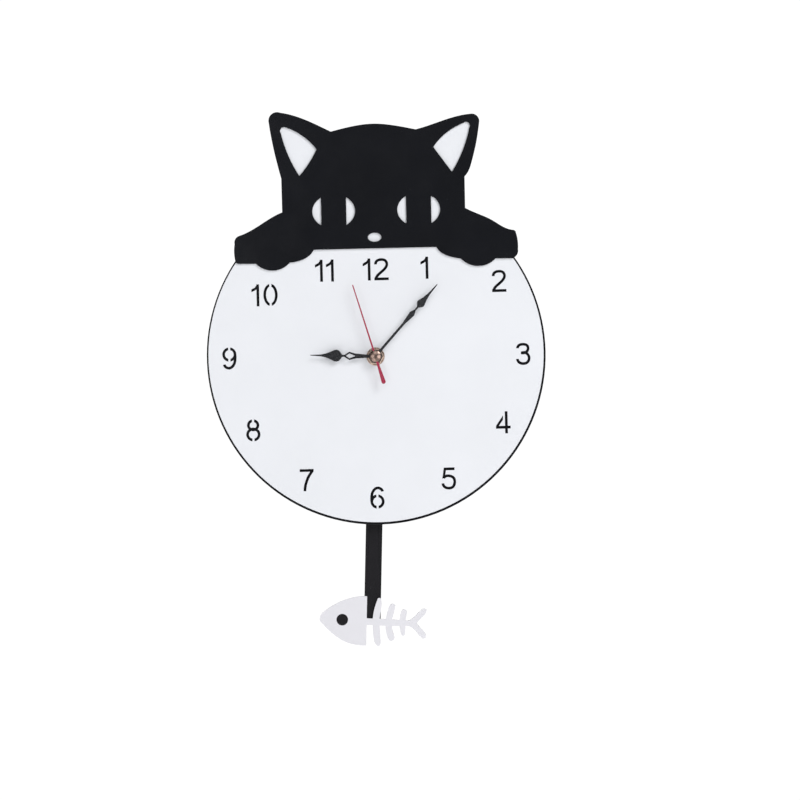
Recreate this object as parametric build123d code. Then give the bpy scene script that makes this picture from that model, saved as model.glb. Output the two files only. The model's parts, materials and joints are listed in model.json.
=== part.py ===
"""Cat tail clock: a cat plate over a round dial, quartz movement, fish-bone pendulum.

Millimetres. The origin is on the hand axis, in the wall plane at the back of the movement.
+X is to the right of someone reading the dial, +Z is up, and the clock faces -Y.
Flat pieces lie in layers, each given by its back and front depth in front of the wall.
"""
from build123d import *
from math import atan2, cos, degrees, radians, sin
import os

os.makedirs("parts", exist_ok=True)

# ---- driving dimensions ----
DISC_R = 125.0           # black backing disc
DIAL_R = 123.5           # white dial, leaving a thin black rim
PLATE_X, PLATE_Z = 0.5, 1.0   # the layered plates sit slightly off the hand axis
DIAL_X, DIAL_Z = 0.4, 1.35
CASE_FRONT = 17.0        # movement case, from the wall
GASKET = (17.8, 18.8)
BACKING = (18.8, 21.8)
DIAL = (21.8, 23.8)
CAT = (23.8, 25.3)

CASE_HALF = 28.0         # half width of the movement case
CASE_TOP = 29.5
CASE_BOTTOM = -46.0
WALL = 1.2
BAY_X = 10.7             # wall between the train and the battery bay
BAY_FLOOR = -25.9

NUMERAL_H = 16.3
STROKE = 2.05
BRIDGE = 1.45            # stencil bridges that hold the islands of closed figures

HOUR_ANGLE = 272.4       # hand positions, clockwise from twelve
MINUTE_ANGLE = 42.0
SECOND_ANGLE = 343.6

PIVOT_Z = -31.0          # pendulum pivot
SWING_AT_REST = 2.5      # stored swing, towards -X
ROD_W = 12.3
ROD = (10.5, 13.0)
FISH = (13.0, 15.5)


# ---- helpers ----
def slab(face, back, front):
    """Give a face drawn in X and Z its thickness between two depths."""
    return Plane.XZ.offset(back) * extrude(face, front - back)


def disc(radius, back, front, x=0.0, z=0.0):
    """Solid cylinder on an axis square to the wall."""
    return slab(Pos(x, z) * Circle(radius), back, front)


def block(x0, x1, z0, z1, back, front):
    """Rectangular block between two depths."""
    face = Pos((x0 + x1) / 2, (z0 + z1) / 2) * Rectangle(x1 - x0, z1 - z0)
    return slab(face, back, front)


def outline(*runs):
    """Closed face from runs of points; each run ends where the next begins.

    One point starts a straight side, two an arc, and three or more a smooth curve.
    """
    edges = []
    for run, following in zip(runs, runs[1:] + runs[:1]):
        points = list(run) + [following[0]]
        if len(points) == 2:
            edges.append(Line(*points))
        elif len(points) == 3:
            edges.append(ThreePointArc(*points))
        else:
            edges.append(Spline(*points))
    return make_face(edges)


def polygon(*points):
    """Face with straight sides."""
    return make_face(Polyline(*points, close=True))


def stroke(points, width=STROKE):
    """Pen stroke of even width along a smooth curve or a straight line."""
    path = Line(*points) if len(points) == 2 else Spline(*points)
    return trace(path, width)


def polar(radius, angle):
    """Point at an angle anticlockwise from +X, as seen from the front."""
    return radius * cos(radians(angle)), radius * sin(radians(angle))


# ---- gears ----
def gear_face(teeth, module, phase, leaf=False):
    """Clock-train wheel, or leaf pinion, with plenty of backlash."""
    pitch_r = teeth * module / 2
    root = pitch_r - 1.25 * module
    tip = pitch_r + (0.65 if leaf else 0.85) * module
    half = (0.34 if leaf else 0.40) * 180 / teeth
    points = []
    for tooth in range(teeth):
        centre = phase + tooth * 360 / teeth
        flank = ((root, -1.0), (pitch_r, -1.0), (tip, -0.35), (tip, 0.35), (pitch_r, 1.0), (root, 1.0))
        points += [polar(r, centre + side * half) for r, side in flank]
    return polygon(*points)


def mesh_phase(phase, teeth, next_teeth, direction):
    """Phase that puts a gap of the next gear over a tooth of this one."""
    return direction + 180 - (phase - direction) * teeth / next_teeth - 180 / next_teeth


def gear(teeth, module, centre, phase, back, front, bore, leaf=False):
    """Gear blank with its teeth and bore at an axis."""
    face = gear_face(teeth, module, phase, leaf) - Circle(bore)
    return slab(Pos(*centre) * face, back, front)


def spoked(wheel, centre, inner, outer, back, front, count=4):
    """Wheel with round lightening holes."""
    middle, radius = (inner + outer) / 2, (outer - inner) / 2
    for step in range(count):
        x, z = polar(middle, 45 + step * 360 / count)
        wheel -= disc(radius, back - 1, front + 1, centre[0] + x, centre[1] + z)
    return wheel


parts = {}

# ---- backing disc, dial and its figures ----
BUSH_HOLE = 4.0
parts["backing_disc"] = disc(DISC_R, *BACKING, PLATE_X, PLATE_Z) - disc(BUSH_HOLE, 18, 22)

top = NUMERAL_H / 2
mid = top - STROKE / 2   # centre line of the highest stroke


def ring(half_w, half_h, x=0.0, z=0.0):
    """Oval ring of stroke width."""
    return Pos(x, z) * (Ellipse(half_w, half_h) - Ellipse(half_w - STROKE, half_h - STROKE))


def bridge(x, z):
    """Strip of dial left across a stroke."""
    return Pos(x, z) * Rectangle(BRIDGE, 2.6 * STROKE)


def bar(x0, x1, z):
    """Level stroke."""
    return Pos((x0 + x1) / 2, z) * Rectangle(x1 - x0, STROKE)


def figure_0():
    return ring(5.3, top) - bridge(0, top) - bridge(0, -top)


def figure_1():
    """Stem on x = 0 with a flag to its left."""
    edge = STROKE / 2
    flag = polygon((edge, top), (-0.3, top), (-2.2, 5.8), (-4.7, 4.5), (-4.7, 2.4),
                   (-2.2, 3.5), (-0.5, 4.8), (edge, 4.8))
    return Rectangle(STROKE, NUMERAL_H) + flag


def figure_2():
    hook = stroke([(-4.2, 3.6), (-3.0, 6.3), (-0.1, mid), (3.3, 6.0),
                   (4.1, 3.4), (2.6, 0.4), (-1.5, -3.2), (-4.2, -6.9)])
    return hook + bar(-5.3, 5.3, -mid)


def figure_3():
    upper = stroke([(-4.1, 4.2), (-2.8, 6.5), (-0.1, mid), (2.9, 6.2), (3.7, 4.0), (2.6, 1.7), (-0.9, 0.8)])
    lower = stroke([(-0.9, 0.8), (2.9, 0.1), (4.3, -3.0), (3.0, -6.2),
                    (-0.1, -mid), (-3.1, -6.1), (-4.3, -3.6)])
    return upper + lower + Pos(-1.1, 0.8) * Rectangle(1.2, STROKE)


def figure_4():
    stem = Pos(2.2, 0) * Rectangle(STROKE, NUMERAL_H)
    diagonal = polygon((-5.5, -4.5), (-5.5, -2.5), (-0.15, 5.3), (-0.15, 2.0), (-3.4, -2.6), (-2.6, -4.5))
    return stem + bar(-5.5, 5.3, -3.55) + diagonal


def figure_5():
    back = polygon((-3.5, top), (-1.7, top), (-2.7, 1.3), (-4.8, -0.4))
    bowl = stroke([(-3.9, 0.3), (-1.9, 1.9), (0.7, 1.9), (3.6, 0.3), (4.3, -2.8),
                   (3.0, -6.1), (-0.1, -mid), (-3.2, -6.0), (-4.4, -3.5)])
    return back + bar(-3.5, 4.4, mid) + bowl


def figure_6():
    bowl = ring(5.2, 5.25, 0.1, -2.9)
    back = stroke([(4.0, 4.4), (2.6, 6.5), (0.3, mid), (-2.6, 5.3), (-4.1, 1.2), (-4.1, -2.9)])
    return bowl + back - bridge(0.1, 2.2) - bridge(0.1, -top)


def figure_7():
    leg = stroke([(4.2, 6.6), (1.2, 2.2), (-0.8, -2.8), (-1.6, -top)])
    return leg + bar(-5.1, 5.2, mid)


def figure_8():
    rings = ring(4.55, 4.4, 0, 3.75) + ring(5.25, 5.1, 0, -3.05)
    return rings - bridge(0, top) - bridge(0, -top)


def figure_9():
    return Rot(0, 0, 180) * figure_6()


# each figure with its place from the middle of the plates
FIGURES = [
    (figure_1, -3.7, 63.2), (figure_2, 5.3, 63.2), (figure_1, 38.9, 63.5), (figure_2, 91.8, 52.5),
    (figure_3, 108.3, -1.7), (figure_4, 92.5, -51.8), (figure_5, 51.3, -92.2), (figure_6, -1.7, -105.0),
    (figure_7, -53.3, -90.9), (figure_8, -91.9, -53.3), (figure_9, -108.1, 0.1), (figure_1, -86.1, 46.1),
    (figure_0, -76.8, 46.2), (figure_1, -38.9, 63.1), (figure_1, -30.8, 63.1),
]
dial = disc(DIAL_R, *DIAL, DIAL_X, DIAL_Z) - disc(BUSH_HOLE, DIAL[0] - 1, DIAL[1] + 1)
for figure, x, z in FIGURES:
    dial -= slab(Pos(x + PLATE_X, z + PLATE_Z) * figure(), DIAL[0] - 1, DIAL[1] + 1)
parts["dial_plate"] = dial

# ---- cat plate and the white ear panels behind it ----
cat_face = outline(
    [(-44.1, 78.6)],
    [(46.2, 78.6), (50.0, 74.2), (56.0, 71.3)],
    [(64.0, 69.6), (76.8, 63.8)],
    [(89.7, 69.1)],
    [(101.8, 68.9), (105.3, 71.2)],
    [(106.3, 75.4), (106.2, 82.0)],
    [(104.9, 88.2), (104.2, 89.3)],
    [(102.8, 89.8), (96.0, 92.1), (88.0, 97.2), (80.0, 101.2), (74.0, 103.8)],
    [(68.1, 106.8)],
    [(68.2, 130.0), (71.7, 135.0), (73.8, 141.0), (77.0, 153.0)],
    [(79.9, 169.5), (78.6, 174.2)],
    [(73.5, 176.0), (64.0, 174.6), (48.0, 169.9)],
    [(33.0, 165.5), (20.0, 168.3), (1.0, 170.4), (-15.0, 168.6)],
    [(-29.5, 165.3), (-44.0, 172.6), (-56.0, 177.5)],
    [(-66.5, 180.1), (-72.8, 179.2)],
    [(-75.2, 174.0), (-73.5, 162.0), (-69.9, 144.0)],
    [(-66.8, 131.5)],
    [(-66.7, 106.7), (-76.0, 102.2), (-88.0, 94.9)],
    [(-98.8, 90.1), (-101.3, 88.4)],
    [(-102.3, 84.0), (-102.8, 78.0)],
    [(-102.1, 71.8), (-101.3, 70.1)],
    [(-99.5, 69.5)],
    [(-86.9, 69.3), (-75.3, 64.0)],
    [(-62.0, 69.6), (-54.0, 71.0), (-48.0, 74.0)],
)
left_ear_face = outline(
    [(-53.4, 133.2), (-46.3, 142.2)],
    [(-40.3, 152.6), (-46.1, 159.0), (-53.9, 165.0)],
    [(-63.0, 169.3), (-66.1, 168.6)],
    [(-66.3, 165.0), (-61.8, 150.0)],
)
right_ear_face = outline(
    [(59.0, 133.6)],
    [(45.7, 152.2), (51.5, 159.0), (59.3, 165.0)],
    [(68.6, 169.6), (72.2, 169.3)],
    [(72.6, 166.0), (67.6, 150.0)],
)
EYES = [(-28.75, 106.6), (33.85, 106.45)]
EYE_A, EYE_B, PUPIL_W = 15.75, 12.6, 18.45
eye_face = Ellipse(EYE_A, EYE_B) - Rectangle(PUPIL_W, 4 * EYE_B)
cat_cut = left_ear_face + right_ear_face + Pos(0.95, 86.8) * Ellipse(5.0, 3.3)
for eye in EYES:
    cat_cut += Pos(*eye) * eye_face
cat = slab(cat_face, *CAT) - slab(cat_cut, CAT[0] - 1, CAT[1] + 1)
parts["cat_plate"] = Pos(PLATE_X, 0, PLATE_Z) * cat

# each panel laps about 4 mm behind the edge of its cut-out
left_lap = [(-53.6, 126.5), (-35.5, 152.5), (-45.5, 164.5), (-62.0, 174.0), (-70.8, 172.0), (-65.8, 149.0)]
right_lap = [(58.5, 127.0), (40.8, 152.5), (50.5, 163.8), (66.5, 172.6), (76.3, 170.5), (71.6, 149.0)]
for side, corners in (("left", left_lap), ("right", right_lap)):
    panel = make_face(FilletPolyline(*corners, radius=3.0, close=True))
    parts[f"{side}_ear_panel"] = Pos(PLATE_X, 0, PLATE_Z) * slab(panel, *DIAL)

# ---- movement case: front wall, sides, battery bay and pendulum box ----
case = block(-CASE_HALF, CASE_HALF, CASE_BOTTOM, CASE_TOP, 1.6, CASE_FRONT)
INNER = CASE_HALF - WALL
ROOM_TOP = CASE_TOP - WALL
ROOM_FRONT = CASE_FRONT - 1.4
case -= block(-INNER, BAY_X, BAY_FLOOR, ROOM_TOP, 0, ROOM_FRONT)
case -= block(BAY_X + 1.0, INNER, BAY_FLOOR, ROOM_TOP, 0, ROOM_FRONT)
BOX_TOP = BAY_FLOOR - 1.0
case -= block(-INNER, INNER, CASE_BOTTOM + WALL, BOX_TOP, 0, ROOM_FRONT)
ARM_SLOT = 7.5
case -= block(-ARM_SLOT, ARM_SLOT, CASE_BOTTOM - 1, CASE_BOTTOM + WALL + 1, 7.5, 12.5)

# train axes, from the hand axis
THIRD = (-10.8, 0.0)
MOTION = (0.0, -11.5)
FIFTH = polar(8.4, 100)
ROTOR = (FIFTH[0] + polar(8.4, 80)[0], FIFTH[1] + polar(8.4, 80)[1])
PIVOT_FIT = 0.05

for x, z in (THIRD, MOTION):
    case += disc(1.5, 15.4, ROOM_FRONT, x, z)
case -= disc(0.5 + PIVOT_FIT, 15.0, 16.4, *THIRD)
case -= disc(0.9 + PIVOT_FIT, 15.0, 16.4, *MOTION)
PIN_R = 0.75
case += disc(2.2, 13.2, ROOM_FRONT, 0, PIVOT_Z) - disc(PIN_R, 13.0, 16.0, 0, PIVOT_Z)
SCREWS = ((-24.4, 25.9), (-24.4, -42.4), (24.4, -42.4))
SCREW_R, HEAD_R = 0.9, 2.2
for x, z in SCREWS:
    case += disc(2.6, 1.6, ROOM_FRONT, x, z) - disc(SCREW_R + PIVOT_FIT, 1, 8.5, x, z)
BUSH_R, BUSH_BORE = 3.9, 2.6
case -= disc(BUSH_R, ROOM_FRONT - 1, CASE_FRONT + 1)
parts["movement_case"] = case

bush = disc(5.0, ROOM_FRONT - 0.2, ROOM_FRONT) + disc(BUSH_R, ROOM_FRONT, 27.2)
parts["centre_bush"] = bush - disc(BUSH_BORE, 10, 30)

# ---- movement cover with the setting-knob well ----
cover = block(-CASE_HALF, CASE_HALF, CASE_BOTTOM, CASE_TOP, 0, 1.6)
cover -= block(BAY_X + 1.0, INNER, BAY_FLOOR, ROOM_TOP, -1, 3)
for x, z in (FIFTH, ROTOR):
    cover += disc(1.6, 1.6, 3.2, x, z) - disc(0.4 + PIVOT_FIT, 1.0, 4.0, x, z)
cover += disc(1.6, 1.6, 3.2) - disc(0.5 + PIVOT_FIT, 1.0, 4.0)
WELL_R = 5.6
cover += disc(WELL_R + 0.8, 1.0, 3.9, *MOTION)
cover -= disc(WELL_R, -1, 3.2, *MOTION)
cover -= disc(0.9 + PIVOT_FIT, 0, 5, *MOTION)
cover += disc(2.2, 1.6, 4.2, 0, PIVOT_Z) - disc(PIN_R, 1.7, 5.0, 0, PIVOT_Z)
for x0, x1 in ((-22.0, -14.0), (-2.0, 8.0)):
    cover += block(x0, x1, ROOM_TOP - 1.15, ROOM_TOP - 0.15, 1.6, 3.4)
for x, z in SCREWS:
    cover -= disc(HEAD_R + 0.2, -1, 1.0, x, z) + disc(SCREW_R + 0.1, -1, 3, x, z)
# recesses in the back: an arrow round the knob, a blank pad and the battery's two poles
MARK = 0.45
arrow_ring = Circle(8.6) - Circle(7.8)
arrow = arrow_ring & polygon((0, 0), polar(14, 40), polar(14, 80), polar(14, 122))
arrow += polygon(polar(6.9, 120), polar(9.5, 120), polar(8.2, 139))
cover -= slab(Pos(*MOTION) * arrow, -1, MARK)
cover -= slab(Pos(-17.5, 6.0) * RectangleRounded(13.0, 20.0, 1.5), -1, MARK)
POLE_X = 7.6
for z, upright in ((24.2, True), (-22.0, False)):
    cover -= block(POLE_X - 2.0, POLE_X + 2.0, z - 0.45, z + 0.45, -1, MARK)
    if upright:
        cover -= block(POLE_X - 0.45, POLE_X + 0.45, z - 2.0, z + 2.0, -1, MARK)
parts["movement_cover"] = cover

screws = []
for x, z in SCREWS:
    screw = disc(HEAD_R, 0.15, 1.0, x, z) + disc(SCREW_R, 1.0, 8.0, x, z)
    for half_x, half_z in ((1.3, 0.28), (0.28, 1.3)):
        screw -= block(x - half_x, x + half_x, z - half_z, z + half_z, 0, 0.65)
    screws += screw.solids()
parts["cover_screws"] = Compound(children=screws)

# ---- middle plate of the train ----
MIDDLE = (7.4, 8.6)
plate = block(-INNER, BAY_X, -22.0, 20.3, *MIDDLE)
plate -= disc(2.2, 7, 9)
plate -= disc(0.9 + PIVOT_FIT, 7, 9, *MOTION)
for x, z, r in ((*THIRD, 0.5), (*FIFTH, 0.4), (*ROTOR, 0.4)):
    plate -= disc(r + PIVOT_FIT, 7, 9, x, z)
PILLARS = ((-23.5, 17.5), (-23.5, -19.5), (8.0, -19.5))
for x, z in PILLARS:
    plate += disc(1.6, MIDDLE[1], ROOM_FRONT, x, z)
parts["middle_plate"] = plate

# ---- hanger, gasket, washer and nut on the bush ----
HANGER_HALF = 11.0
TAB = (1.0, 1.8)
SHELF_Z = CASE_TOP + 0.6
hanger = block(-HANGER_HALF, HANGER_HALF, -12.0, SHELF_Z + 0.8, CASE_FRONT, 17.8)
hanger += block(-HANGER_HALF, HANGER_HALF, SHELF_Z, SHELF_Z + 0.8, TAB[0], 17.8)
tab = block(-HANGER_HALF, HANGER_HALF, SHELF_Z, 48.0, *TAB)
NAIL_R, NAIL_Z, SLOT_Z = 3.5, 38.0, 43.5
tab -= disc(NAIL_R, 0, 3, 0, NAIL_Z) + disc(1.75, 0, 3, 0, SLOT_Z)
tab -= block(-1.75, 1.75, NAIL_Z, SLOT_Z, 0, 3)
hanger = hanger + tab - disc(BUSH_HOLE, 16, 19)
parts["hanger_plate"] = hanger
parts["rubber_gasket"] = slab(Circle(12.0) - Circle(BUSH_HOLE), *GASKET)
washer = slab(Circle(6.75) - Circle(BUSH_HOLE), DIAL[1], 24.3)
washer_rim = washer.edges().group_by(Axis.Y)[0].sort_by(SortBy.LENGTH)[-1]
parts["dial_washer"] = chamfer(washer_rim, 0.35)
nut_face = RegularPolygon(5.6, 6, major_radius=False) & Circle(6.2)
nut = slab(nut_face - Circle(BUSH_R), 24.3, 26.7)
nut_corners = nut.edges().group_by(Axis.Y)[0].sort_by(SortBy.LENGTH)[:-1]
parts["fixing_nut"] = chamfer(nut_corners, 0.45)

# ---- going train ----
HOUR_M, MINUTE_M = 0.46, 11.5 / 24
THIRD_M, SECOND_M = 10.8 / 34, 0.30
FIFTH_M, ROTOR_M = 0.35, 0.30

# seconds: wheel of 40, pinion of 8, steel arbor through to the dial
seconds_phase = 90 - SECOND_ANGLE
SEC_R = 0.68
wheel = gear(40, FIFTH_M, (0, 0), seconds_phase, 5.8, 6.8, SEC_R)
wheel = spoked(wheel, (0, 0), 2.2, 5.4, 5.8, 6.8)
leaves = gear(8, SECOND_M, (0, 0), seconds_phase, 6.8, 10.4, SEC_R - 0.08, leaf=True)
parts["seconds_wheel"] = wheel + leaves - disc(SEC_R - 0.08, 6, 11)
arbor = disc(0.5, 1.8, 5.8) + disc(SEC_R, 5.8, 6.8) + disc(SEC_R - 0.08, 6.8, 32.0)
parts["seconds_arbor"] = arbor

# fifth: wheel of 48, pinion of 8 that drives the seconds wheel
fifth_dir = degrees(atan2(FIFTH[1], FIFTH[0]))
fifth_phase = mesh_phase(seconds_phase, 40, 8, fifth_dir)
wheel = gear(48, ROTOR_M, FIFTH, fifth_phase, 4.0, 5.0, 0.4)
wheel = spoked(wheel, FIFTH, 2.4, 5.6, 4.0, 5.0)
wheel += gear(8, FIFTH_M, FIFTH, fifth_phase, 5.0, 7.0, 0.4, leaf=True)
parts["fifth_wheel"] = wheel
parts["fifth_arbor"] = disc(0.4, 1.9, 8.2, *FIFTH)

# rotor: pinion of 8 and the two-pole magnet
rotor_dir = degrees(atan2(ROTOR[1] - FIFTH[1], ROTOR[0] - FIFTH[0]))
rotor_phase = mesh_phase(fifth_phase, 48, 8, rotor_dir)
hub = gear(8, ROTOR_M, ROTOR, rotor_phase, 3.8, 5.2, 0.4, leaf=True)
parts["rotor_pinion"] = hub + disc(1.2, 5.2, 5.6, *ROTOR) - disc(0.4, 3, 8, *ROTOR)
parts["rotor_magnet"] = disc(2.5, 5.6, 7.0, *ROTOR) - disc(0.4, 3, 8, *ROTOR)
parts["rotor_arbor"] = disc(0.4, 1.9, 8.2, *ROTOR)

# third: wheel of 64 driven by the seconds pinion, pinion of 8
third_dir = 180.0
third_phase = mesh_phase(seconds_phase, 8, 64, third_dir)
wheel = gear(64, SECOND_M, THIRD, third_phase, 9.2, 10.2, 0.5)
wheel = spoked(wheel, THIRD, 2.6, 8.2, 9.2, 10.2)
wheel += gear(8, THIRD_M, THIRD, third_phase, 10.2, 12.2, 0.5, leaf=True)
parts["third_wheel"] = wheel
parts["third_arbor"] = disc(0.5, 7.6, 16.2, *THIRD)

# minute: wheel of 60 on a tube, pinion of 12, running on the seconds arbor
MIN_R, MIN_BORE = 1.62, 0.75
minute_phase = mesh_phase(third_phase, 8, 60, 0.0)
wheel = gear(60, THIRD_M, (0, 0), minute_phase, 11.0, 12.0, MIN_BORE)
wheel = spoked(wheel, (0, 0), 3.6, 8.2, 11.0, 12.0)
wheel += gear(12, MINUTE_M, (0, 0), minute_phase, 12.0, 13.7, MIN_BORE, leaf=True)
wheel += disc(MIN_R, 13.7, 31.1) - disc(MIN_BORE, 10, 33)
parts["minute_wheel"] = wheel

# motion work: wheel of 36, pinion of 10, turned by the setting knob at the back
motion_phase = mesh_phase(minute_phase, 12, 36, 270.0)
wheel = gear(36, MINUTE_M, MOTION, motion_phase, 12.6, 13.6, 0.9)
wheel += gear(10, HOUR_M, MOTION, motion_phase, 13.6, 15.3, 0.9, leaf=True)
parts["motion_wheel"] = wheel
parts["setting_arbor"] = disc(0.9, 2.8, 16.2, *MOTION)
knob = disc(5.0, 0.4, 2.8, *MOTION)
for step in range(16):
    x, z = polar(5.25, step * 22.5)
    knob -= disc(0.55, 0, 3, MOTION[0] + x, MOTION[1] + z)
knob -= block(-3.6, 3.6, MOTION[1] - 0.5, MOTION[1] + 0.5, 0, 1.2)
parts["setting_knob"] = knob

# hour: wheel of 40 on a pipe, running in the bush
HOUR_R, HOUR_BORE = 2.52, 1.70
hour_phase = mesh_phase(motion_phase, 10, 40, 90.0)
wheel = gear(40, HOUR_M, (0, 0), hour_phase, 14.15, 15.15, HOUR_BORE)
wheel = spoked(wheel, (0, 0), 3.2, 7.8, 14.15, 15.15)
parts["hour_wheel"] = wheel + disc(HOUR_R, 15.15, 29.4) - disc(HOUR_BORE, 10, 33)


# ---- hands, drawn pointing up and turned to their place ----
def hand(sides, angle, back, front, hub_r, bore_r, hub_front, window=None):
    """Thin blade with mirrored sides, and the round collet it is pressed on by."""
    right = [(half, r) for r, half in sides]
    left = [(-half, r) for r, half in reversed(sides)]
    face = polygon(*right, *left) + Circle(hub_r)
    if window:
        face -= polygon(*window)
    blade = slab(face, back, front) + disc(hub_r, back, hub_front)
    blade -= disc(bore_r, back - 1, hub_front + 1)
    return blade.rotate(Axis.Y, angle)


spade = [(0.0, 1.15), (6.0, 1.15), (14.5, 1.8), (19.2, 3.05), (22.9, 0.75), (24.5, 0.75), (25.5, 2.2),
         (26.7, 3.7), (28.5, 4.45), (30.5, 4.1), (33.0, 2.8), (36.5, 1.5), (40.0, 0.7), (47.9, 0.25)]
diamond = [(0, 14.8), (1.75, 19.1), (0, 21.7), (-1.75, 19.1)]
parts["hour_hand"] = hand(spade, HOUR_ANGLE, 28.4, 28.8, 4.6, HOUR_R, 29.4, diamond)
lance = [(0.0, 0.95), (31.7, 0.9), (41.3, 2.1), (44.7, 0.65), (47.5, 0.65), (48.8, 1.7), (49.8, 2.6),
         (51.0, 3.05), (52.6, 2.7), (55.5, 1.7), (60.0, 0.9), (69.7, 0.3)]
parts["minute_hand"] = hand(lance, MINUTE_ANGLE, 30.3, 30.7, 4.4, MIN_R, 31.1)
needle = [(-20.4, 1.4), (-19.6, 1.55), (-8.0, 0.95), (0.0, 0.65), (55.0, 0.42)]
second_face = polygon(*[(h, r) for r, h in needle], *[(-h, r) for r, h in reversed(needle)])
second_face += Circle(2.6) + Pos(0, -19.6) * Circle(1.55)
second = slab(second_face, 32.0, 32.35) + disc(1.1, 31.5, 32.0) - disc(SEC_R - 0.08, 31, 32)
parts["second_hand"] = second.rotate(Axis.Y, SECOND_ANGLE)
CAP_R, CAP_TOP = 4.15, 33.4
DOME_R = 11.5            # the cap's face is slightly domed
parts["second_hand_cap"] = disc(CAP_R, 32.35, CAP_TOP) & Pos(0, DOME_R - CAP_TOP, 0) * Sphere(DOME_R)

# ---- stepping motor ----
STATOR = (6.0, 6.8)
stator = block(-13.0, 9.3, 12.8, 20.4, *STATOR) - disc(2.9, 5, 8, *ROTOR)
for x0, x1 in ((-13.0, -9.6), (5.9, 9.3)):
    stator += block(x0, x1, 20.4, 24.8, *STATOR)
parts["motor_stator"] = stator
COIL_Z = 23.6
core_end = (-13.0, 9.3)
parts["coil_core"] = block(*core_end, COIL_Z - 1.2, COIL_Z + 1.2, STATOR[1], STATOR[1] + 0.8)


def along_x(radius, x0, x1, depth, z):
    """Cylinder lying along X."""
    return Pos((x0 + x1) / 2, -depth, z) * Rot(0, 90, 0) * Cylinder(radius, x1 - x0)


core_depth = STATOR[1] + 0.4
window = block(*core_end, COIL_Z - 1.2, COIL_Z + 1.2, STATOR[1], STATOR[1] + 0.8)
coil = along_x(2.3, -8.6, 4.9, core_depth, COIL_Z)
for x0 in (-9.3, 4.9):
    coil += along_x(2.9, x0, x0 + 0.7, core_depth, COIL_Z)
parts["motor_coil"] = coil - window

# ---- circuit board, crystal and the pendulum drive coil ----
BOARD = (4.0, 5.0)
parts["circuit_board"] = block(-26.2, -8.0, -25.4, -11.0, *BOARD)
crystal = Pos(-20.0, -6.1, -18.0) * Cylinder(1.0, 6.0)
parts["quartz_crystal"] = fillet(crystal.edges(), 0.25)
parts["chip_cover"] = disc(3.0, 5.0, 6.2, -13.0, -18.0)

COIL_D = 8.0             # coil and magnet, below the pivot
coil_z = PIVOT_Z - COIL_D
bobbin = disc(5.2, 1.6, 2.3, 0, coil_z) + disc(1.8, 2.3, 6.3, 0, coil_z) + disc(5.2, 6.3, 7.0, 0, coil_z)
bobbin -= disc(2.6, 1, 8, 0, PIVOT_Z)
parts["drive_bobbin"] = bobbin
parts["drive_coil"] = disc(4.7, 2.3, 6.3, 0, coil_z) - disc(1.8, 2, 7, 0, coil_z)
parts["pivot_pin"] = disc(PIN_R, 2.0, 15.4, 0, PIVOT_Z)

# ---- battery and its contacts ----
BAT_X, BAT_D, BAT_R = 19.25, 7.9, 7.2
BAT_Z0 = -23.2
battery = Pos(BAT_X, -BAT_D, BAT_Z0 + 24.6) * Cylinder(BAT_R, 49.2)
battery = fillet(battery.edges(), 0.6)
battery += Pos(BAT_X, -BAT_D, BAT_Z0 + 49.7) * Cylinder(2.75, 1.0)
parts["battery"] = battery
contact = block(14.5, 24.0, ROOM_TOP - 0.6, ROOM_TOP, 3.0, 13.0)
parts["positive_contact"] = contact + block(BAT_X - 2.0, BAT_X + 2.0, ROOM_TOP - 1.0, ROOM_TOP, 6.0, 10.0)
spring = Helix(pitch=0.6, height=1.8, radius=3.0)
SPRING_WIRE = 0.22
coil_wire = sweep(Plane(spring @ 0, z_dir=spring % 0) * Circle(SPRING_WIRE), spring)
spring_base = block(14.5, 24.0, BAY_FLOOR, BAY_FLOOR + 0.4, 3.0, 13.0)
parts["negative_contact"] = spring_base + Pos(BAT_X, -BAT_D, BAY_FLOOR + 0.55) * coil_wire

# ---- pendulum, built hanging straight, then swung ----
FISH_EYE = (-22.2, -164.1)
ARM = (8.5, 10.5)
PEG_D = 26.0
swing = {}
arm_face = Circle(2.6) + Pos(0, -COIL_D) * Circle(4.6) + Pos(0, -COIL_D / 2) * Rectangle(4.2, COIL_D)
arm_face += Pos(0, -(COIL_D + PEG_D) / 2) * Rectangle(5.0, PEG_D - COIL_D) + Pos(0, -PEG_D) * Circle(3.4)
MAGNET_R = 3.0
arm = slab(arm_face - Pos(0, -COIL_D) * Circle(MAGNET_R), *ARM) + disc(2.6, 7.0, 12.0)
arm -= disc(PIN_R + PIVOT_FIT, 6, 13)
arm += disc(1.5, ARM[1], 14.4, 0, -PEG_D)
swing["pendulum_arm"] = arm
swing["drive_magnet"] = disc(MAGNET_R, 8.2, 10.5, 0, -COIL_D)

ROD_TOP, ROD_END = -20.0, -165.2
rod_face = Pos(0, (ROD_TOP + ROD_END) / 2) * Rectangle(ROD_W, ROD_TOP - ROD_END)
rod_face = fillet(rod_face.vertices().group_by(Axis.Y)[-1], 4.0)
swing["pendulum_rod"] = slab(rod_face - Pos(0, -PEG_D) * Circle(1.6), *ROD)

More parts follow.
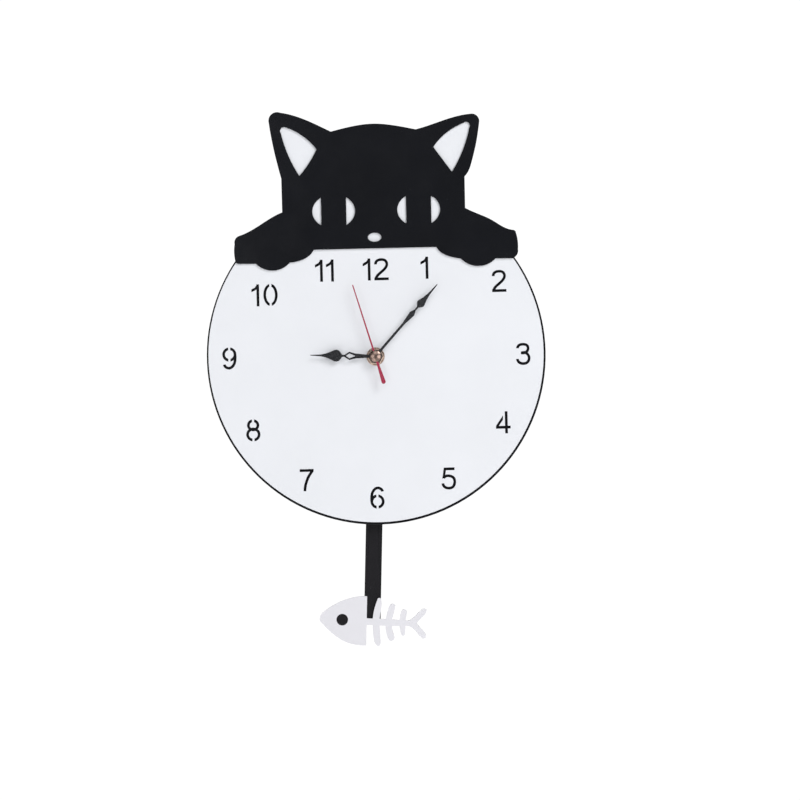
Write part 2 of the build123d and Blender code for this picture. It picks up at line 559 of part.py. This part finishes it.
fish_head = outline(
    [(-38.9, -164.0), (-38.4, -161.3)],
    [(-36.4, -158.8), (-27.8, -152.8), (-18.7, -148.8), (-11.0, -146.9)],
    [(-4.15, -146.4)],
    [(-4.15, -182.8), (-11.5, -182.5), (-20.5, -180.0), (-29.6, -174.2)],
    [(-37.6, -166.5), (-38.7, -165.4)],
)
bones = polygon((-5.3, -162.7), (5.4, -163.0), (15.0, -163.3), (26.7, -163.9),
                (26.7, -167.7), (15.0, -168.2), (5.4, -167.9), (-5.3, -167.7))
RIBS = [
    [[(0.4, -165.4), (0.6, -160.1), (1.4, -155.7), (2.4, -152.0)], [(3.5, -149.1), (5.1, -147.5)],
     [(6.3, -148.5), (6.6, -150.6)],
     [(6.6, -153.7), (6.2, -156.8), (5.5, -162.1), (5.5, -167.7), (5.9, -173.0)],
     [(6.3, -178.6), (6.1, -182.0)], [(5.1, -183.3), (3.1, -182.0)],
     [(1.8, -179.7), (1.1, -175.9), (0.6, -171.6)]],
    [[(9.7, -165.2), (10.4, -160.6), (11.1, -157.4)], [(11.9, -154.5), (13.0, -152.4)],
     [(14.9, -151.6), (16.3, -152.2)],
     [(16.8, -153.8), (16.2, -157.2), (15.1, -161.3), (14.3, -165.0), (14.6, -169.1), (15.7, -173.0)],
     [(16.7, -176.4), (16.2, -178.1)], [(14.8, -179.0), (13.2, -178.8)],
     [(12.0, -177.4), (10.9, -174.6), (10.2, -171.3)]],
    [[(20.3, -164.9), (20.5, -161.2)], [(21.2, -157.8), (22.2, -156.0)], [(23.6, -155.5), (25.0, -156.3)],
     [(25.5, -158.2), (25.1, -160.8), (24.5, -164.8), (24.6, -169.2)], [(24.4, -172.6), (23.9, -174.6)],
     [(22.9, -175.4), (21.8, -174.4)], [(21.2, -172.4), (20.5, -169.6)]],
]
tail = outline(
    [(25.5, -163.9), (27.3, -163.6), (29.2, -162.5), (31.7, -160.1), (34.6, -157.2)],
    [(36.8, -155.3), (38.8, -154.8)],
    [(40.1, -156.2), (39.6, -157.8)],
    [(37.2, -160.8), (34.8, -163.3)],
    [(32.7, -165.6)],
    [(35.8, -169.2), (38.6, -172.1)],
    [(39.9, -174.2), (39.5, -176.2)],
    [(37.9, -177.0), (36.3, -175.9)],
    [(33.1, -172.4), (30.3, -169.7), (27.9, -168.2)],
    [(25.6, -167.7)],
)
fish_face = fish_head + bones + tail
for rib in RIBS:
    fish_face += outline(*rib)
EYE_R = 4.3
fish_face -= Pos(*FISH_EYE) * Circle(EYE_R)
swing["fish_bone"] = slab(fish_face, *FISH)
swing["fish_eye"] = disc(EYE_R, FISH[0], FISH[1] - 0.3, *FISH_EYE)

for name, shape in swing.items():
    parts[name] = Pos(0, 0, PIVOT_Z) * shape.rotate(Axis.Y, SWING_AT_REST)

for name, shape in parts.items():
    export_step(shape, f"parts/{name}.step")
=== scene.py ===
"""Looks of the cat tail clock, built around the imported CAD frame. Metres, same frame as the CAD."""

import json
import math

import bpy
from mathutils import Matrix, Vector


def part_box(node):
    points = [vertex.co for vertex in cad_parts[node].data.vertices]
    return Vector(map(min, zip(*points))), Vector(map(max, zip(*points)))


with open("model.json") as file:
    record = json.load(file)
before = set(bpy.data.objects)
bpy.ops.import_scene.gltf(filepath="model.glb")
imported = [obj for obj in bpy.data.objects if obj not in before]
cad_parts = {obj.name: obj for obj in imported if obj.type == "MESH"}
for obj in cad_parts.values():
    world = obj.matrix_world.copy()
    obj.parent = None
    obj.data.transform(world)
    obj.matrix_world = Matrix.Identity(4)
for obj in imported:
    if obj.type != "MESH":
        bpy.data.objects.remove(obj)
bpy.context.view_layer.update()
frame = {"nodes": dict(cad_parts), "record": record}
nodes = frame["nodes"]
scene = bpy.context.scene

MM = 0.001

# ---- camera: square to the dial, with the clock hanging slightly askew ----
HANG = math.radians(1.37)
VIEW_WIDTH = 590 * MM
VIEW_CENTRE = (17.25 * MM, -22 * MM, -32.5 * MM)
CAMERA_DISTANCE = 2.0
SENSOR = 36.0

right = Vector((math.cos(HANG), 0, -math.sin(HANG)))
up = Vector((math.sin(HANG), 0, math.cos(HANG)))
back = Vector((0, -1, 0))
camera_data = bpy.data.cameras.new("camera")
camera_data.sensor_width = SENSOR
camera_data.lens = SENSOR * CAMERA_DISTANCE / VIEW_WIDTH
camera = bpy.data.objects.new("camera", camera_data)
scene.collection.objects.link(camera)
turn = Matrix((right, up, back)).transposed().to_4x4()
camera.matrix_world = Matrix.Translation(Vector(VIEW_CENTRE) + back * CAMERA_DISTANCE) @ turn
scene.camera = camera


# ---- material helpers ----
FACE_NORMAL, WALL_NORMAL = 0.75, 0.35   # share of a normal square to the wall, on a face and on a cut edge
CLEAR = 0.12                            # plain roughness of cast acrylic, which the smudge map then replaces
DUST_SCALE, DUST_AMOUNT = 160.0, 0.35
STRIA = 0.0006                          # size of the laser striations on the cut edges
TRACK_SCALE = 420.0


class Graph:
    """A small node tree builder around one Principled shader."""

    def __init__(self, name, color, roughness, metallic=0.0, ior=1.49):
        self.material = bpy.data.materials.new(name)
        self.material.use_nodes = True
        self.tree = self.material.node_tree
        self.shader = self.tree.nodes["Principled BSDF"]
        self.set(self.shader, {"Base Color": (*color, 1.0), "Roughness": roughness,
                               "Metallic": metallic, "IOR": ior})
        coords = self.add("ShaderNodeTexCoord")
        self.object_coords = coords.outputs["Object"]
        self.normal = None

    def set(self, node, values):
        for key, value in values.items():
            if isinstance(value, bpy.types.NodeSocket):
                self.tree.links.new(value, node.inputs[key])
            else:
                node.inputs[key].default_value = value

    def add(self, kind, values=None, **settings):
        node = self.tree.nodes.new(kind)
        for key, value in settings.items():
            setattr(node, key, value)
        self.set(node, values or {})
        return node

    def stretched(self, scale):
        """Object coordinates scaled differently along each axis."""
        return self.add("ShaderNodeMapping", {"Vector": self.object_coords, "Scale": scale}).outputs["Vector"]

    def noise(self, size, detail=3.0, stretch=None, roughness=0.5):
        """Noise with features of about a size in metres."""
        vector = self.stretched(stretch) if stretch else self.object_coords
        return self.add("ShaderNodeTexNoise", {"Vector": vector, "Scale": 1.0 / size, "Detail": detail,
                                               "Roughness": roughness}).outputs["Fac"]

    def ramp(self, value, low, high, start=0.0, end=1.0):
        """A value mapped from low..high to start..end, clamped."""
        node = self.add("ShaderNodeMapRange", {"Value": value, "From Min": low, "From Max": high,
                                               "To Min": start, "To Max": end})
        return node.outputs["Result"]

    def mix(self, factor, first, second):
        """Blend of two colours."""
        node = self.add("ShaderNodeMix", data_type="RGBA")
        self.set_socket(node.inputs[0], factor)
        self.set_socket(node.inputs[6], first)
        self.set_socket(node.inputs[7], second)
        return node.outputs[2]

    def set_socket(self, socket, value):
        if isinstance(value, bpy.types.NodeSocket):
            self.tree.links.new(value, socket)
        elif isinstance(value, (tuple, list)):
            socket.default_value = (*value, 1.0) if len(value) == 3 else value
        else:
            socket.default_value = value

    def math(self, operation, first, second=0.0, third=0.0):
        node = self.add("ShaderNodeMath", operation=operation)
        for socket, value in zip(node.inputs, (first, second, third)):
            self.set_socket(socket, value)
        return node.outputs[0]

    def bump(self, height, depth, strength=1.0):
        """Adds a bump of a depth in metres to the shader's normal."""
        node = self.add("ShaderNodeBump", {"Height": height, "Distance": depth, "Strength": strength})
        if self.normal:
            self.set(node, {"Normal": self.normal})
        self.normal = node.outputs["Normal"]
        self.set(self.shader, {"Normal": self.normal})

    def axis_distance(self):
        """Distance from the hand axis."""
        across = (1.0, 0.0, 1.0)
        flat = self.add("ShaderNodeVectorMath", {0: self.object_coords, 1: across}, operation="MULTIPLY")
        return self.add("ShaderNodeVectorMath", {0: flat.outputs[0]}, operation="LENGTH").outputs["Value"]

    def edge_walls(self):
        """One on the cut edges of a flat sheet, zero on its faces."""
        normal = self.add("ShaderNodeNewGeometry").outputs["True Normal"]
        parts = self.add("ShaderNodeSeparateXYZ", {"Vector": normal})
        return self.ramp(self.math("ABSOLUTE", parts.outputs["Y"]), FACE_NORMAL, WALL_NORMAL)


def tinted(color, factor):
    return tuple(min(1.0, c * factor) for c in color)


# ---- materials ----
def acrylic(name, color, edge_color, speck_color, smudge):
    """Laser-cut cast sheet: faint handling smudges and specks on the faces, striations on the cut edges. The
    cut edges take edge_color, which on the white sheets is darker than the face as painted shade on the cut
    walls.
    """
    g = Graph(name, color, CLEAR)
    walls = g.edge_walls()
    cloud = g.ramp(g.noise(0.045, 4.0), 0.35, 0.7)
    face = g.mix(cloud, tinted(color, 1.0 - smudge), tinted(color, 1.0 + smudge))
    speck = g.add("ShaderNodeTexVoronoi", {"Vector": g.object_coords, "Scale": DUST_SCALE, "Randomness": 1.0})
    dust = g.ramp(speck.outputs["Distance"], 0.045, 0.02)
    face = g.mix(g.math("MULTIPLY", dust, DUST_AMOUNT), face, speck_color)
    striae = g.noise(STRIA, 2.0, (1.0, 0.08, 1.0))
    edge = g.mix(g.ramp(striae, 0.35, 0.65), tinted(edge_color, 0.85), tinted(edge_color, 1.12))
    g.set(g.shader, {"Base Color": g.mix(walls, face, edge)})
    rough = g.ramp(g.noise(0.02, 5.0, roughness=0.65), 0.3, 0.75, 0.10, 0.165)
    rough_edge = g.ramp(striae, 0.3, 0.7, 0.18, 0.42)
    blend = g.add("ShaderNodeMix", {0: walls, 2: rough, 3: rough_edge}, data_type="FLOAT")
    g.set(g.shader, {"Roughness": blend.outputs[0]})
    g.bump(g.noise(0.03, 1.0), 0.00006, 0.25)
    g.bump(g.math("MULTIPLY", striae, walls), 0.00003, 0.6)
    return g.material


def moulded(name, color, rough, grain, depth, ior=1.49):
    """Injection moulding with a fine spark-eroded grain and slight flow marks."""
    g = Graph(name, color, rough, ior=ior)
    flow = g.ramp(g.noise(0.012, 3.0, (1.0, 1.0, 0.3)), 0.3, 0.7)
    g.set(g.shader, {"Base Color": g.mix(flow, tinted(color, 0.9), tinted(color, 1.1))})
    g.set(g.shader, {"Roughness": g.ramp(g.noise(grain * 4), 0.3, 0.7, rough - 0.07, rough + 0.07)})
    g.bump(g.noise(grain, 2.0, roughness=0.7), depth, 0.6)
    return g.material


def turned(name, color, rough, pitch):
    """Turned metal: fine rings about the hand axis, with slight tarnish."""
    g = Graph(name, color, rough, metallic=1.0)
    reach = g.axis_distance()
    rings = g.math("SINE", g.math("MULTIPLY", reach, 2 * math.pi / pitch))
    tarnish = g.ramp(g.noise(0.003, 3.0), 0.35, 0.7)
    g.set(g.shader, {"Base Color": g.mix(tarnish, tinted(color, 0.78), color)})
    g.set(g.shader, {"Roughness": g.ramp(tarnish, 0.0, 1.0, rough + 0.07, rough)})
    g.bump(rings, 0.0000008, 0.6)
    return g.material


def brushed(name, color, rough, stretch):
    """Rolled or drawn metal with directional scratches."""
    g = Graph(name, color, rough, metallic=1.0)
    lines = g.noise(0.0004, 3.0, stretch, 0.7)
    stain = g.ramp(g.noise(0.006, 3.0), 0.35, 0.7)
    g.set(g.shader, {"Base Color": g.mix(stain, tinted(color, 0.82), color)})
    g.set(g.shader, {"Roughness": g.ramp(lines, 0.3, 0.7, rough - 0.06, rough + 0.12)})
    g.bump(lines, 0.00001, 0.5)
    return g.material


def enamelled(name, color, rough, dots):
    """Stamped metal hand with sprayed enamel; dots gives the size of the raised texture. The dots are painted
    lighter on their tops and darker between them, as painted highlight and painted shade.
    """
    g = Graph(name, color, rough)
    cells = g.add("ShaderNodeTexVoronoi", {
        "Vector": g.object_coords, "Scale": 1.0 / dots, "Randomness": 0.25})
    bead_relief_and_highlight = g.ramp(cells.outputs["Distance"], 0.5, 0.15)
    # painted highlight on the dot tops and painted shade between them; the same mask also drives the real
    # bump
    g.set(g.shader, {"Base Color": g.mix(bead_relief_and_highlight, tinted(color, 0.75), tinted(color, 1.35))})
    g.set(g.shader, {"Roughness": g.ramp(g.noise(0.0015, 3.0), 0.3, 0.7, rough - 0.06, rough + 0.1)})
    g.bump(bead_relief_and_highlight, 0.00005, 0.7)
    g.bump(g.noise(0.0003, 2.0), 0.00001, 0.4)
    return g.material


def wound(name, color, pitch, axis):
    """Enamelled wire laid in close turns along an axis, painted darker in the grooves between turns and
    lighter on their crowns as painted shade and painted highlight.
    """
    g = Graph(name, color, 0.28)
    parts = g.add("ShaderNodeSeparateXYZ", {"Vector": g.object_coords})
    turn_crowns_and_groove_shade = g.math("ABSOLUTE", g.math("SINE", g.math("MULTIPLY", parts.outputs[axis], math.pi / pitch)))
    # painted shade in the grooves between turns and painted highlight on their crowns; the same mask also
    # drives the real bump
    g.set(g.shader, {"Base Color": g.mix(turn_crowns_and_groove_shade, tinted(color, 0.35), tinted(color, 1.25))})
    g.set(g.shader, {"Roughness": g.ramp(g.noise(0.001), 0.3, 0.7, 0.2, 0.36)})
    g.bump(turn_crowns_and_groove_shade, pitch * 0.4, 0.9)
    return g.material


def circuit(name, mask, copper):
    """Solder-masked board with tracks showing faintly under the mask."""
    g = Graph(name, mask, 0.3)
    flat_on = g.add("ShaderNodeMapping", {"Vector": g.object_coords, "Rotation": (math.pi / 2, 0.0, 0.0)})
    tracks = g.add("ShaderNodeTexBrick", {
        "Vector": flat_on.outputs["Vector"], "Scale": TRACK_SCALE, "Mortar Size": 0.03,
        "Row Height": 0.6, "Brick Width": 1.9}).outputs["Fac"]
    g.set(g.shader, {"Base Color": g.mix(tracks, mask, copper)})
    g.set(g.shader, {"Roughness": g.ramp(g.noise(0.003), 0.3, 0.7, 0.22, 0.38)})
    g.bump(tracks, 0.00004, 0.8)
    return g.material


BAND, STRIPE = 0.70, 0.69   # where the band and the pale line under it start, as shares of the cell's length
LINE_WHITE = (0.8, 0.8, 0.78)


def jacket(name, sleeve, band, metal, low, high):
    """Battery sleeve with a coloured band at the positive end and bare metal ends."""
    g = Graph(name, sleeve, 0.3)
    parts = g.add("ShaderNodeSeparateXYZ", {"Vector": g.object_coords})
    z = parts.outputs["Z"]
    length = high - low
    upper = g.ramp(z, low + BAND * length, low + (BAND + 0.002) * length)
    above_stripe = g.ramp(z, low + STRIPE * length, low + (STRIPE + 0.001) * length)
    stripe = g.math("MULTIPLY", above_stripe, g.math("SUBTRACT", 1.0, upper))
    scuff = g.ramp(g.noise(0.004, 4.0), 0.35, 0.75)
    body = g.mix(scuff, tinted(sleeve, 0.85), tinted(sleeve, 1.15))
    body = g.mix(upper, body, band)
    body = g.mix(stripe, body, LINE_WHITE)
    ends = g.math("ADD", g.ramp(z, low + 0.0012, low + 0.001), g.ramp(z, high - 0.0022, high - 0.002))
    g.set(g.shader, {"Base Color": g.mix(ends, body, metal), "Metallic": ends})
    g.set(g.shader, {"Roughness": g.ramp(scuff, 0.0, 1.0, 0.22, 0.36)})
    g.bump(g.noise(0.0012, 2.0), 0.00001, 0.5)
    return g.material


battery_low, battery_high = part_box("battery")
BLACK = (0.0046, 0.0052, 0.0074)
# lighter than BLACK, though the rod and fish eye are the same black acrylic: a painted sheen standing in for
# their reflections of the lights
ROD_BLACK_PAINTED_SHEEN = (0.0125, 0.0120, 0.0140)
WHITE = (0.785, 0.80, 0.836)
FISH_WHITE = (0.73, 0.725, 0.765)
BLACK_SPECK = (0.10, 0.10, 0.11)
WIRE, WIRE_PITCH = (0.50, 0.19, 0.07), 0.00016
RING_PITCH = 0.00025
looks = {
    "black_acrylic": acrylic("black_acrylic", BLACK, (0.02, 0.021, 0.024), BLACK_SPECK, 0.12),
    # the white sheet's edge colour is darker than its face: painted shade on the cut walls
    "white_acrylic": acrylic("white_acrylic", WHITE, (0.58, 0.585, 0.61), (0.62, 0.64, 0.68), 0.012),
    "case_plastic": moulded("case_plastic", (0.018, 0.018, 0.02), 0.5, 0.00035, 0.00003),
    "frame_plastic": moulded("frame_plastic", (0.70, 0.69, 0.64), 0.42, 0.0005, 0.00002),
    "gear_plastic": moulded("gear_plastic", (0.78, 0.76, 0.69), 0.35, 0.0008, 0.00001),
    "brass": turned("brass", (0.57, 0.43, 0.35), 0.2, RING_PITCH),
    "steel": brushed("steel", (0.58, 0.58, 0.60), 0.3, (1.0, 1.0, 0.04)),
    "magnet": brushed("magnet", (0.50, 0.50, 0.52), 0.2, (0.3, 1.0, 1.0)),
    "rubber": moulded("rubber", (0.022, 0.022, 0.023), 0.8, 0.0005, 0.00005),
    "hand_black": enamelled("hand_black", (0.008, 0.009, 0.012), 0.26, 0.0011),
    "hand_red": enamelled("hand_red", (0.34, 0.020, 0.058), 0.25, 0.0009),
    "copper_wire": wound("copper_wire", WIRE, WIRE_PITCH, "X"),
    "board": circuit("board", (0.02, 0.14, 0.06), (0.06, 0.26, 0.12)),
    "epoxy": moulded("epoxy", (0.012, 0.012, 0.013), 0.22, 0.0012, 0.00008),
    "battery_skin": jacket("battery_skin", (0.035, 0.045, 0.07), (0.42, 0.25, 0.09), (0.62, 0.62, 0.62),
                           battery_low.z, battery_high.z),
    # the fish's edge colour is darker than its face: painted shade on the cut walls
    "fish_acrylic": acrylic("fish_acrylic", FISH_WHITE, (0.50, 0.50, 0.525), (0.6, 0.6, 0.63), 0.012),
    "cap_brass": turned("cap_brass", (0.27, 0.19, 0.16), 0.18, RING_PITCH),
    # rod and fish eye: black acrylic with a painted sheen in its lighter base colour
    "rod_acrylic_painted_sheen": acrylic("rod_acrylic_painted_sheen", ROD_BLACK_PAINTED_SHEEN, (0.025, 0.026, 0.029), BLACK_SPECK, 0.12),
    "drive_winding": wound("drive_winding", WIRE, WIRE_PITCH, "Y"),
}

slot_of = {entry["node"]: entry["material_slot"] for entry in frame["record"]["subparts"]}
# pieces whose look differs from the rest of their slot
overrides = {"drive_coil": "drive_winding", "fish_bone": "fish_acrylic", "second_hand_cap": "cap_brass",
             "pendulum_rod": "rod_acrylic_painted_sheen", "fish_eye": "rod_acrylic_painted_sheen"}
for name, obj in nodes.items():
    material = looks[overrides.get(name, slot_of[name])]
    obj.data.materials.clear()
    obj.data.materials.append(material)

# ---- edges: every sharp edge of these pieces gets a small radius, in millimetres ----
WELD_DISTANCE = 1e-6
BEVEL_ANGLE = 35
BEVELS = {
    "cat_plate": 0.18, "dial_plate": 0.10, "backing_disc": 0.15, "left_ear_panel": 0.12,
    "right_ear_panel": 0.12, "pendulum_rod": 0.18, "fish_bone": 0.25, "fish_eye": 0.15,
    "hour_hand": 0.10, "minute_hand": 0.10, "second_hand": 0.08, "fixing_nut": 0.25,
    "dial_washer": 0.12, "hanger_plate": 0.12, "movement_case": 0.35, "movement_cover": 0.20,
    "setting_knob": 0.12, "pendulum_arm": 0.2, "rubber_gasket": 0.15, "centre_bush": 0.15,
}
for name, width in BEVELS.items():
    obj = nodes[name]
    weld = obj.modifiers.new("weld", "WELD")
    weld.merge_threshold = WELD_DISTANCE
    bevel = obj.modifiers.new("bevel", "BEVEL")
    bevel.width = width * MM
    bevel.segments = 2
    bevel.limit_method = "ANGLE"
    bevel.angle_limit = math.radians(BEVEL_ANGLE)

# ---- floor, light and background ----
FLOOR_Z = -1.3
FLOOR_HALF = 5.0
FLOOR_GLOW = 0.42   # keeps the floor pale away from the lights
floor_mesh = bpy.data.meshes.new("floor")
signs = ((-1, -1), (1, -1), (1, 1), (-1, 1))
floor_mesh.from_pydata([(x * FLOOR_HALF, y * FLOOR_HALF, FLOOR_Z) for x, y in signs], [], [(0, 1, 2, 3)])
floor = bpy.data.objects.new("floor", floor_mesh)
scene.collection.objects.link(floor)
paint = Graph("floor_paint", (0.82, 0.82, 0.82), 0.8)
paint.bump(paint.noise(0.05, 3.0), 0.0005, 0.3)
paint.set(paint.shader, {"Emission Color": (1.0, 1.0, 1.0, 1.0), "Emission Strength": FLOOR_GLOW})
floor.data.materials.append(paint.material)


def area_light(name, place, target, size, power):
    """Square soft box aimed at a point, with its power in watts."""
    data = bpy.data.lights.new(name, "AREA")
    data.size = size
    data.energy = power
    lamp = bpy.data.objects.new(name, data)
    lamp.location = place
    direction = Vector(target) - Vector(place)
    lamp.rotation_euler = direction.to_track_quat("-Z", "Y").to_euler()
    scene.collection.objects.link(lamp)


area_light("key", (1.6, -2.4, 1.75), (0, 0, 0), 1.4, 50.0)
area_light("left", (-0.80, -2.1, 0.05), (0, 0, 0), 0.9, 5.2)
area_light("right", (0.95, -2.1, -0.1), (0, 0, 0), 0.9, 9.0)
area_light("top", (-0.1, -2.1, 1.08), (0, 0, 0), 0.9, 5.2)
area_light("low", (-0.5, -2.1, -0.94), (0, 0, 0), 0.8, 4.0)
area_light("rim", (0.4, 1.8, 1.2), (0, 0, 0), 1.2, 14.0)
area_light("behind", (-1.0, 1.6, 0.2), (0, 0, 0), 1.0, 9.0)
area_light("floor_wash", (0.0, 1.2, 2.2), (0, 0.8, -1.3), 2.0, 60.0)

# white behind the clock for the camera, and a dim sky for its light
SKY_STRENGTH, BACKDROP_STRENGTH = 0.14, 1.05
world = bpy.data.worlds.new("studio")
scene.world = world
world.use_nodes = True
tree = world.node_tree
sky = tree.nodes["Background"]
sky.inputs["Color"].default_value = (0.99, 0.99, 1.0, 1.0)
sky.inputs["Strength"].default_value = SKY_STRENGTH
backdrop = tree.nodes.new("ShaderNodeBackground")
backdrop.inputs["Color"].default_value = (1.0, 1.0, 1.0, 1.0)
backdrop.inputs["Strength"].default_value = BACKDROP_STRENGTH
path = tree.nodes.new("ShaderNodeLightPath")
chooser = tree.nodes.new("ShaderNodeMixShader")
tree.links.new(path.outputs["Is Camera Ray"], chooser.inputs[0])
tree.links.new(sky.outputs[0], chooser.inputs[1])
tree.links.new(backdrop.outputs[0], chooser.inputs[2])
tree.links.new(chooser.outputs[0], tree.nodes["World Output"].inputs["Surface"])
scene.view_settings.view_transform = "Standard"
scene.view_settings.look = "None"
